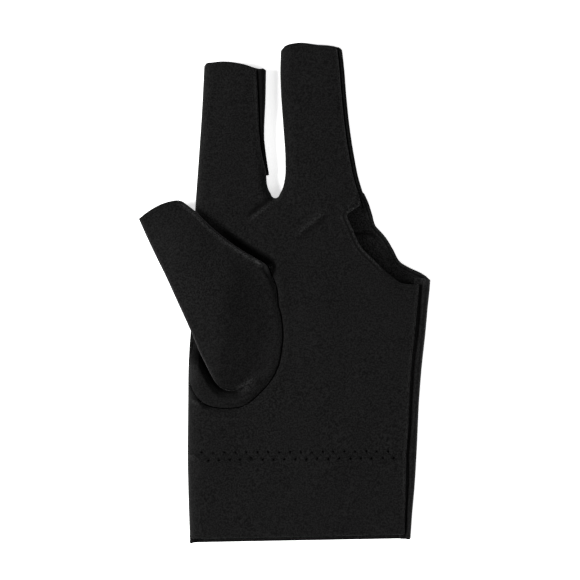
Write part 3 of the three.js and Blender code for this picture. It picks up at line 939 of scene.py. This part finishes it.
# The lower layer, which lies on the palm, out of sight.
def thumbLower(form, upper):
    kept = len(upper)
    down, ahead, edge = form["left"][:kept], form["right"][:kept], form["edge"][:kept]
    share, t = form["share"], np.linspace(0, 1, kept)[:, None]
    belly = np.sin(math.pi * share)
    end = atShares(curveThrough([down[-1], *thumb["hiddenSeam"], ahead[-1]], 0.4), share)
    start = atShares(form["tip"][::-1], share) + belly[:, None] ** 0.3 * [0.2, 0.5]
    lower = patch(start, end, down, ahead, share, 1 - t, t**2)
    hang = thumb["lowerPuff"] * (1 - smoothStep(t, 0.05, 0.35)) * belly[None]
    drop = form["fade"][:kept, ::-1] * (form["centre"][:kept] - thumb["roll"] * rollUp(edge) - hang)
    flat = lower.reshape(-1, 2)
    sunk = (insideOf(flat, seamLoop) * smoothStep(distanceTo(flat, seamLoop), 1, 4)).reshape(drop.shape)
    drop = drop - thumb["sink"] * sunk * smoothStep(edge, 0, 0.6)
    lower = np.concatenate([lower, (palmLevel(flat).reshape(drop.shape) + drop)[..., None]], 2)
    lower[:, 0], lower[:, -1] = upper[:, -1], upper[:, 0]
    return lower


# The cloth below the left fold, which dips in under it from where the layers become one.
def thumbGusset(weld):
    under = curveThrough([weld[0, :2], *thumb["gussetEdge"]], 0.8)
    seam = curveThrough(thumb["seamLeft"][: thumb["seamLeftSeen"] - 1], 0.5)
    side = leftEdge[(leftEdge[:, 1] > seam[-1, 1] + 0.3) & (leftEdge[:, 1] < 101.2)]
    parts = [(under[::-1][:-1], "cut"), (weld[:, :2], "cut"), (seam[1:], "cut"), (side, "fold")]
    flat, faces = triangulate(parts, thumb["spacing"])
    where, outside = besideLine(flat, leftFold)
    hold = smoothStep(where, 0.45, 0.6) * (1 - 0.4 * smoothStep(where, 0.76, 0.82)) * (
        1 - smoothStep(where, 0.81, thumb["foldEnd"])
    )
    height = palmHeight(flat, False)
    away = distanceTo(flat, leftFold)
    away = np.where(outside > 0, -away, away)
    rise, _ = edgeRise(flat)
    height -= thumb["dip"] * hold * (1 - smoothStep(away, 0.2, 3.8)) * rise
    height -= 1.2 * smoothStep(-away, 0.2, 1.2)
    gusset = np.column_stack([flat, height])
    onWeld = distanceTo(flat, weld[:, :2]) < 1e-3
    nearest = np.argmin(np.linalg.norm(flat[:, None] - weld[None, :, :2], axis=2), axis=1)
    gusset[onWeld] = weld[nearest[onWeld]]
    return gusset, faces


# How deep in the shade of the left fold each point lies.
def dipped(points):
    where, outside = besideLine(points[:, :2], leftFold)
    reach = 3.2 - 1.3 * smoothStep(where, 0.7, 0.76)
    near = 1 - smoothStep(distanceTo(points[:, :2], leftFold) / reach, 0.2, 1)
    below = 1 - smoothStep(points[:, 2], 8, 9.5)
    shown = smoothStep(where, 0.5, 0.62) * (1 - smoothStep(where, 0.81, 0.84))
    return near * below * (outside < 0.3) * shown


# The thumb: two layers between its folds, and the cloth that comes out from under the left one.
def thumbSleeve():
    rows, half = thumb["rows"], thumb["columns"]
    kept = int(rows * thumb["foldEnd"])
    form = thumbForm()
    upper = thumbUpper(form)
    lower = thumbLower(form, upper[:kept])
    gusset, faces = thumbGusset(upper[kept - 1 :, -1])
    every = [upper.reshape(-1, 3), lower.reshape(-1, 3), gusset]
    sheets = [gridFaces(rows, half), gridFaces(kept, half) + rows * half, faces + (rows + kept) * half]
    points, faces = tidy(np.concatenate(every), np.concatenate(sheets))

    # Painted light on the thumb: painted highlights along the right fold's rim, the left fold and the
    # crease; painted shade on the left fold's turned edge and in the dip beside it.
    def lit(every):
        flat = every[:, :2]
        share, _ = besideLine(flat, leftFold)
        total = bells(distanceTo(flat, rightFold), thumb["rimHighlight"])
        fold = distanceTo(flat, leftFold)
        total += bells(fold, thumb["foldHighlight"]) * (1 - smoothStep(share, 0.68, 0.74))
        turned = smoothStep(share, 0.7, 0.76) * (1 - smoothStep(share, 0.8, 0.84))
        total -= turned * bells(fold, thumb["turnedShade"])
        rise, reach = thumb["creaseHighlight"]
        total += ridge(flat, *thumb["foldCrease"], rise, reach)
        total -= thumb["dipShade"] * dipped(every)
        return np.maximum(total, darkestPaintedShade) * (every[:, 2] > 1)

    return pieceFrom("thumbCloth", *thicken(points, faces, size["cloth"], 0.1), lit)


cuff = {"start": 3.7, "rows": 30, "turned": 14, "across": 60, "sag": 2.2, "pinch": 0.5}


# The turned-in layer behind the cuff's stitches, all round the wrist.
def cuffHem():
    inset = size["cloth"] + size["gap"]
    rows = np.linspace(cuff["start"], size["cuffHemDepth"], cuff["rows"])
    sections = []
    for y in rows:
        share = np.array([y / crotch])
        left, right = (
            sign * (size["palmWidth"] * spline(handEdges["at"], handEdges[side], share)[0] - inset)
            for sign, side in ((-1, "left"), (1, "right"))
        )
        middle = size["handHeight"] / 2
        half = middle - inset
        side = half * 1.15
        turn = np.linspace(-math.pi / 2, math.pi / 2, cuff["turned"])
        rightArc = np.stack([right - side + side * np.cos(turn), middle + half * np.sin(turn)], 1)
        leftArc = np.stack([left + side - side * np.cos(turn), middle - half * np.sin(turn)], 1)
        across = np.linspace(left + side, right - side, cuff["across"])[1:-1]
        low = np.stack([across, np.full(len(across), middle - half)], 1)
        high = np.stack([across[::-1], np.full(len(across), middle + half)], 1)
        ring = np.concatenate([low, rightArc, high, leftArc])
        top = ring[:, 1] > middle
        x = ring[top, 0]
        beside = smoothStep(x, right - 8.5, right - 5.5) * (1 - smoothStep(x, right - 0.6, right))
        ring[top, 1] -= cuff["sag"] * beside
        ring[top, 1] -= cuff["pinch"] * (1 - smoothStep(np.abs(y - cuffStitch["y"] - 1.5), 2.5, 5))
        sections.append(np.column_stack([ring[:, 0], np.full(len(ring), y), ring[:, 1]]))
    sections = np.array(sections)
    points = sections.reshape(-1, 3)
    faces = gridFaces(len(rows), sections.shape[1], wrap=True)
    return pieceFrom("cuffHemCloth", *thicken(points, faces, size["hem"], 0.3))


# The side opening's two hems: how far in they start, how wide and thick they are.
hems = {"start": 0.3, "palmWide": 3, "palmThick": 1.0, "backWide": 1.7, "backThick": 0.6, "columns": 7}


# A narrow hem that follows one edge of the side opening.
def openingHem(name, line, wide, thick, heightOf, lit=None):
    into = inward(line)
    columns = np.linspace(hems["start"], hems["start"] + wide, hems["columns"])
    flat = line[:, None] + into[:, None] * columns[None, :, None]
    flat = flat.reshape(-1, 2)
    points = np.column_stack([flat, heightOf(flat)])
    faces = gridFaces(len(line), len(columns))
    if pointNormals(points, faces)[:, 2].mean() < 0:
        faces = faces[:, ::-1]
    return pieceFrom(name, *thicken(points, faces, thick, 0.25), lit)


# Painted light along the back's hem: a painted highlight at its pressed edge, painted shade in its stitched
# groove, and a painted highlight on its raised inner edge.
def hemPaintedLight(every):
    edge = distanceTo(every[:, :2], backOpeningLine)
    share, _ = besideLine(every[:, :2], backOpeningLine)
    total = 0.9 * bell(edge, 0.4, 0.3)
    total -= (0.7 + 0.5 * np.sin(share * 170)) * bell(edge, 1.05, 0.35)
    return np.maximum(total + 0.6 * bell(edge, 1.7, 0.25), -0.6)


palmCloth = palmPanel()
backCloth = backPanel()
thumbCloth = thumbSleeve()
cuffHemCloth = cuffHem()
nextLayer = size["cloth"] + size["gap"]
palmHemCloth = openingHem(
    "palmHemCloth", palmOpeningLine[4:-5], hems["palmWide"], hems["palmThick"],
    lambda p: palmHeight(p) - nextLayer,
)
backHemCloth = openingHem(
    "backHemCloth", backOpeningLine[3:-4], hems["backWide"], hems["backThick"],
    lambda p: backRelief(p) + nextLayer + hems["backThick"], hemPaintedLight,
)
print("cloth made")


# Adds a node; each of its inputs, by name or number, gets a link or a value.
def addNode(tree, kind, inputs, **settings):
    node = tree.nodes.new(kind)
    for name, value in settings.items():
        setattr(node, name, value)
    for key, value in inputs.items():
        if isinstance(value, bpy.types.NodeSocket):
            tree.links.new(value, node.inputs[key])
        else:
            node.inputs[key].default_value = value
    return node


def doMath(tree, operation, *values):
    return addNode(tree, "ShaderNodeMath", dict(enumerate(values)), operation=operation).outputs[0]


def noise(tree, vector, scale, detail):
    inputs = {"Vector": vector, "Scale": scale, "Detail": detail, "Roughness": 0.6}
    return addNode(tree, "ShaderNodeTexNoise", inputs).outputs["Fac"]


# A node tree with named inputs, as rows of name, kind and value, and named outputs.
def newTree(name, kind, inputs, outputs):
    tree = bpy.data.node_groups.new(name, kind)
    for label, socketKind, value in inputs:
        socket = tree.interface.new_socket(name=label, in_out="INPUT", socket_type=socketKind)
        if value is not None:
            socket.default_value = value
    for label, socketKind in outputs:
        tree.interface.new_socket(name=label, in_out="OUTPUT", socket_type=socketKind)
    return tree, addNode(tree, "NodeGroupInput", {}).outputs, addNode(tree, "NodeGroupOutput", {})


knit = {
    "dark": (0.0008, 0.0008, 0.0008, 1),
    "light": (0.0072, 0.0072, 0.0072, 1),
    "wale": 0.00062,
    "course": 0.0005,
    "yarnScale": 1900,
    "clumpScale": 1300,
    "slowScale": 28,
    "slowTone": 0.2,
    "speckle": (0.41, 0.59),
    "bump": 0.55,
    "bumpDepth": 0.00022,
    "paintedLight": 1.5,  # how much the painted light and shade scale the colour
    "sheen": 0.08,
    "sheenRoughness": 0.3,
    "specular": 0.06,
}


# The knit: upright wales of small v-shaped loops, with uneven yarn and a brushed face.
def knitGroup():
    number = "NodeSocketFloat"
    tree, given, end = newTree(
        "knitLoops", "ShaderNodeTree",
        [("Vector", "NodeSocketVector", None), ("Wale", number, 0.0006), ("Course", number, 0.00045)],
        [("Height", number), ("Yarn", number), ("Tone", number)],
    )
    split = addNode(tree, "ShaderNodeSeparateXYZ", {0: given["Vector"]}).outputs
    sway = noise(tree, given["Vector"], 260, 2)
    across = doMath(tree, "DIVIDE", split[0], given["Wale"])
    across = doMath(tree, "ADD", across, doMath(tree, "MULTIPLY", sway, 0.5))
    fromMiddle = doMath(tree, "ABSOLUTE", doMath(tree, "SUBTRACT", doMath(tree, "FRACT", across), 0.5))
    up = doMath(tree, "DIVIDE", split[1], given["Course"])
    leg = doMath(tree, "MULTIPLY_ADD", fromMiddle, 1.3, up)
    loop = doMath(tree, "SINE", doMath(tree, "MULTIPLY", leg, 2 * math.pi))
    body = doMath(tree, "SINE", doMath(tree, "MULTIPLY", fromMiddle, 2 * math.pi))
    yarn = noise(tree, given["Vector"], knit["yarnScale"], 1.2)
    clump = noise(tree, given["Vector"], knit["clumpScale"], 3)
    height = doMath(tree, "MULTIPLY_ADD", loop, 0.2, doMath(tree, "MULTIPLY", body, 0.3))
    height = doMath(tree, "MULTIPLY_ADD", yarn, 0.9, height)
    height = doMath(tree, "MULTIPLY_ADD", clump, 0.6, height)
    speckle = doMath(tree, "MULTIPLY_ADD", clump, 0.3, doMath(tree, "MULTIPLY", yarn, 0.7))
    slow = noise(tree, given["Vector"], knit["slowScale"], 3)
    for name, value in (("Height", height), ("Yarn", speckle), ("Tone", slow)):
        tree.links.new(value, end.inputs[name])
    return tree


knitLoops = knitGroup()


def newMaterial(name, values):
    material = bpy.data.materials.new(name)
    material.use_nodes = True
    shader = material.node_tree.nodes["Principled BSDF"]
    for socket, value in values.items():
        shader.inputs[socket].default_value = value
    return material, material.node_tree, shader


def addBump(tree, shader, height, strength, depth):
    bump = addNode(tree, "ShaderNodeBump", {"Strength": strength, "Distance": depth, "Height": height})
    tree.links.new(bump.outputs[0], shader.inputs["Normal"])


# Black knitted cloth, whose wales run at an angle to the length of the hand, with painted light and shade
# scaled into its colour.
def clothMaterial(name, angle):
    values = {
        "Specular IOR Level": knit["specular"],
        "Sheen Weight": knit["sheen"],
        "Sheen Roughness": knit["sheenRoughness"],
        "Sheen Tint": (1, 1, 1, 1),
    }
    material, tree, shader = newMaterial(name, values)
    place = addNode(tree, "ShaderNodeTexCoord", {}).outputs["Object"]
    turned = addNode(tree, "ShaderNodeMapping", {"Vector": place, "Rotation": (0, 0, angle)}).outputs[0]
    loops = addNode(
        tree, "ShaderNodeGroup", {"Vector": turned, "Wale": knit["wale"], "Course": knit["course"]},
        node_tree=knitLoops,
    ).outputs
    low, high = knit["speckle"]
    ramp = addNode(tree, "ShaderNodeMapRange", {"Value": loops["Yarn"], "From Min": low, "From Max": high})
    slow = doMath(tree, "SUBTRACT", loops["Tone"], 0.5)
    tone = doMath(tree, "MULTIPLY_ADD", slow, knit["slowTone"], ramp.outputs[0])
    tone = doMath(tree, "MAXIMUM", doMath(tree, "MINIMUM", tone, 1.0), 0.0)
    colour = addNode(
        tree, "ShaderNodeMix", {"A": knit["dark"], "B": knit["light"], "Factor": tone}, data_type="RGBA"
    )
    # The paintedLight attribute scales the knit's colour: painted highlights on rolled edges, hems and
    # creases, and painted shade in crevices, grooves and needle holes.
    paintedLight = addNode(tree, "ShaderNodeAttribute", {}, attribute_name="paintedLight").outputs["Fac"]
    paintedLight = doMath(tree, "MULTIPLY_ADD", paintedLight, knit["paintedLight"], 1.0)
    lifted = addNode(
        tree, "ShaderNodeVectorMath", {0: colour.outputs["Result"], "Scale": paintedLight}, operation="SCALE"
    )
    tree.links.new(lifted.outputs["Vector"], shader.inputs["Base Color"])
    tree.links.new(doMath(tree, "MULTIPLY_ADD", loops["Yarn"], 0.2, 0.78), shader.inputs["Roughness"])
    addBump(tree, shader, loops["Height"], knit["bump"], knit["bumpDepth"])
    return material


palmBlack = clothMaterial("palmBlackKnit", 0)
backBlack = clothMaterial("backBlackKnit", 0.04)
thumbBlack = clothMaterial("thumbBlackKnit", -size["thumbTurn"])
hemBlack = clothMaterial("hemBlackKnit", math.pi / 2)

thread = {"colour": (0.0025, 0.0025, 0.0025, 1), "specular": 0.06, "bump": 0.5, "bumpDepth": 0.0001}


# Sewing thread: twisted, a little smoother than the cloth.
def threadMaterial():
    values = {"Base Color": thread["colour"], "Specular IOR Level": thread["specular"]}
    material, tree, shader = newMaterial("blackThread", values)
    fibre = noise(tree, addNode(tree, "ShaderNodeTexCoord", {}).outputs["Object"], 5200, 2)
    tree.links.new(doMath(tree, "MULTIPLY_ADD", fibre, 0.3, 0.45), shader.inputs["Roughness"])
    addBump(tree, shader, fibre, thread["bump"], thread["bumpDepth"])
    return material


threadBlack = threadMaterial()
print("materials made")


# Sets a tree's named inputs, and turns what it makes into a plain mesh.
def madeByNodes(name, path, tree, inputs):
    piece = bpy.data.objects.new(name, path)
    bpy.context.scene.collection.objects.link(piece)
    modifier = piece.modifiers.new("stitches", "NODES")
    modifier.node_group = tree
    for item in tree.interface.items_tree:
        if item.in_out == "INPUT" and item.name in inputs:
            modifier[item.identifier] = inputs[item.name]
    graph = bpy.context.evaluated_depsgraph_get()
    mesh = bpy.data.meshes.new_from_object(piece.evaluated_get(graph))
    bpy.data.objects.remove(piece)
    mesh.name = name
    made = bpy.data.objects.new(name, mesh)
    bpy.context.scene.collection.objects.link(made)
    mesh.shade_smooth()
    print(name, len(mesh.polygons), "faces")
    return made


def pathCurve(name, points):
    curve = bpy.data.curves.new(name, "CURVE")
    curve.dimensions = "3D"
    line = curve.splines.new("POLY")
    line.points.add(len(points) - 1)
    place = (points + toObject) / 1000
    line.points.foreach_set("co", np.column_stack([place, np.ones(len(place))]).astype(np.float32).ravel())
    return curve


def stitchTree(name, values):
    shape = "NodeSocketGeometry"
    numbers = [(label, "NodeSocketFloat", value) for label, value in values.items()]
    return newTree(
        name, "GeometryNodeTree",
        [("Geometry", shape, None), *numbers, ("Material", "NodeSocketMaterial", None)],
        [("Geometry", shape)],
    )


# Ends a tree: its copies are made real and get their material.
def endTree(tree, given, end, shape):
    whole = addNode(tree, "GeometryNodeRealizeInstances", {0: shape}).outputs[0]
    inputs = {"Geometry": whole, "Material": given["Material"]}
    tree.links.new(addNode(tree, "GeometryNodeSetMaterial", inputs).outputs[0], end.inputs[0])
    return tree


# A line with points at even lengths.
def resampled(tree, given, length):
    inputs = {"Curve": given["Geometry"], "Length": length}
    return addNode(tree, "GeometryNodeResampleCurve", inputs, mode="LENGTH").outputs[0]


# A zigzag thread that dives into the cloth at each turn.
def zigzagTree():
    tree, given, end = stitchTree(
        "zigzagThread", {"Pitch": 0.0045, "Width": 0.003, "Lift": 0.0003, "Radius": 0.00016}
    )
    line = resampled(tree, given, doMath(tree, "DIVIDE", given["Pitch"], float(cuffStitch["sides"])))
    along = addNode(tree, "GeometryNodeSplineParameter", {}).outputs["Length"]
    share = doMath(tree, "FRACT", doMath(tree, "DIVIDE", along, given["Pitch"]))
    turn = doMath(tree, "ABSOLUTE", doMath(tree, "MULTIPLY_ADD", share, 2.0, -1.0))
    zig = doMath(tree, "SUBTRACT", 1.0, turn)
    reach = doMath(tree, "ABSOLUTE", doMath(tree, "MULTIPLY_ADD", zig, 2.0, -1.0))
    arch = doMath(tree, "SUBTRACT", 1.0, doMath(tree, "POWER", reach, 5.0))
    lift = doMath(tree, "MULTIPLY", doMath(tree, "MULTIPLY_ADD", arch, 1.9, -1.4), given["Lift"])
    across = doMath(tree, "MULTIPLY", zig, given["Width"])
    offset = addNode(tree, "ShaderNodeCombineXYZ", {1: across, 2: lift}).outputs[0]
    moved = addNode(tree, "GeometryNodeSetPosition", {"Geometry": line, "Offset": offset}).outputs[0]
    inputs = {"Resolution": 6, "Radius": given["Radius"]}
    circle = addNode(tree, "GeometryNodeCurvePrimitiveCircle", inputs).outputs[0]
    inputs = {"Curve": moved, "Profile Curve": circle, "Fill Caps": True}
    return endTree(tree, given, end, addNode(tree, "GeometryNodeCurveToMesh", inputs).outputs[0])


# Short straight stitches, end to end along a hem.
def runningTree():
    tree, given, end = stitchTree("runningStitch", {"Pitch": 0.0023, "Length": 0.0017, "Thick": 0.00036})
    ball = addNode(tree, "GeometryNodeMeshIcoSphere", {"Radius": 0.5, "Subdivisions": 2}).outputs[0]
    tangent = addNode(tree, "GeometryNodeInputTangent", {}).outputs[0]
    turn = addNode(tree, "FunctionNodeAlignRotationToVector", {"Vector": tangent}, axis="X").outputs[0]
    sides = {0: given["Length"], 1: given["Thick"], 2: given["Thick"]}
    scale = addNode(tree, "ShaderNodeCombineXYZ", sides).outputs[0]
    inputs = {
        "Points": resampled(tree, given, given["Pitch"]), "Instance": ball, "Rotation": turn, "Scale": scale
    }
    return endTree(tree, given, end, addNode(tree, "GeometryNodeInstanceOnPoints", inputs).outputs[0])


def cuffThread():
    step = cuffStitch["pitch"] / cuffStitch["sides"]
    x = np.arange(cuffStitch["first"] - cuffStitch["pitch"], cuffStitch["last"], step)
    y = cuffStitch["y"] + cuffStitch["slope"] * (x - cuffStitch["first"])
    share = ((x - cuffStitch["first"]) / cuffStitch["pitch"]) % 1
    z = palmHeight(np.column_stack([x, y + cuffStitch["gap"] * (1 - np.abs(2 * share - 1))]))
    return madeByNodes(
        "cuffThread", pathCurve("cuffPath", np.column_stack([x, y, z])), zigzagTree(),
        {
            "Pitch": cuffStitch["pitch"] / 1000, "Width": cuffStitch["gap"] / 1000,
            "Lift": cuffStitch["lift"] / 1000, "Radius": cuffStitch["thread"] / 1000,
            "Material": threadBlack,
        },
    )


# The running stitch that holds the opening's hems, in millimetres.
openingStitch = {"pitch": 2.3, "length": 1.7, "thick": 0.3, "palmAway": 1.75, "backAway": 1.4}


def openingThread(name, line, away, heightOf):
    path = line + inward(line) * away
    return madeByNodes(
        name, pathCurve(name + "Path", np.column_stack([path, heightOf(path)])), running,
        {
            "Pitch": openingStitch["pitch"] / 1000, "Length": openingStitch["length"] / 1000,
            "Thick": openingStitch["thick"] / 1000, "Material": threadBlack,
        },
    )


running = runningTree()
cuffZigzag = cuffThread()
palmHemThread = openingThread(
    "palmHemThread", palmOpeningLine[4:-4], openingStitch["palmAway"], lambda p: palmHeight(p) + 0.02
)
backHemThread = openingThread(
    "backHemThread", backOpeningLine[4:-4], openingStitch["backAway"],
    lambda p: backRelief(p) + nextLayer + hems["backThick"] + 0.02,
)
print("stitches made")

for piece, nodeName, slot, finish in (
    (palmCloth, "palm_panel", "palm_cloth", palmBlack),
    (backCloth, "back_panel", "back_cloth", backBlack),
    (thumbCloth, "thumb_sleeve", "thumb_cloth", thumbBlack),
    (cuffHemCloth, "cuff_hem", "hem_cloth", hemBlack),
    (palmHemCloth, "palm_opening_hem", "hem_cloth", hemBlack),
    (backHemCloth, "back_opening_hem", "hem_cloth", hemBlack),
):
    piece.data.materials.append(finish)
    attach(piece, "root")
    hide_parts(nodeName)
for piece in (cuffZigzag, palmHemThread, backHemThread):
    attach(piece, "root")
for piece, flat, area, held, restsOn, sewnOn in (
    (
        palmCloth, (0.106, 0.208), 0.0145, "laid", ["cuff_hem", "thumb_sleeve"],
        [cuffZigzag, palmHemCloth, palmHemThread],
    ),
    (backCloth, (0.12, 0.208), 0.019, "laid", ["floor"], [backHemCloth, backHemThread]),
    (thumbCloth, (0.1, 0.09), 0.006, "laid", ["palm_panel", "back_panel"], []),
    (cuffHemCloth, (0.2, 0.032), None, "folded", ["back_panel"], []),
):
    print(piece.name, "cloth area", round(sum(f.area for f in piece.data.polygons) / 2, 6))


studio = {
    "floorLevel": -0.0006,
    "floorTone": 0.9,
    "floorGlow": 0.6,
    "sky": 0.3,
    "lights": [("keyLight", (-0.8, -0.05, 0.8), 0.4, 22.5), ("fillLight", (0.6, -0.5, 1.0), 0.9, 7)],
    # The photograph is 580 pixels square, at 0.41 mm to a pixel on the glove's upper face.
    "seen": 580 * 0.41 / 1000,
    "upperFace": 0.008,
    "distance": 1.3,
    "over": (0.00199, 0.00089),
    "sensor": 36,
}


# The pale floor, the soft lights and the camera straight above.
def stage():
    bpy.ops.mesh.primitive_plane_add(size=4, location=(0, 0, studio["floorLevel"]))
    floor = bpy.context.active_object
    floor.name = "floor"
    values = {
        "Base Color": (studio["floorTone"],) * 3 + (1,),
        "Roughness": 0.9,
        "Emission Color": (1, 1, 1, 1),
        "Emission Strength": studio["floorGlow"],
    }
    floor.data.materials.append(newMaterial("floor_white", values)[0])
    world = bpy.data.worlds.new("studio")
    bpy.context.scene.world = world
    world.use_nodes = True
    world.node_tree.nodes["Background"].inputs["Color"].default_value = (1, 1, 1, 1)
    world.node_tree.nodes["Background"].inputs["Strength"].default_value = studio["sky"]
    for name, place, wide, power in studio["lights"]:
        light = bpy.data.lights.new(name, "AREA")
        light.size = wide
        light.energy = power
        lamp = bpy.data.objects.new(name, light)
        lamp.location = place
        tilt = math.acos(place[2] / math.dist((0, 0, 0), place))
        lamp.rotation_euler = (tilt, 0, math.atan2(place[0], -place[1]))
        lamp.rotation_mode = "XYZ"
        bpy.context.scene.collection.objects.link(lamp)
    camera = bpy.data.cameras.new("camera")
    camera.sensor_width = studio["sensor"]
    camera.lens = studio["sensor"] * studio["distance"] / studio["seen"]
    view = bpy.data.objects.new("camera", camera)
    view.location = (*studio["over"], studio["distance"] + studio["upperFace"])
    bpy.context.scene.collection.objects.link(view)
    bpy.context.scene.camera = view


stage()
print("stage set")
bpy.context.scene.view_settings.view_transform = "Standard"
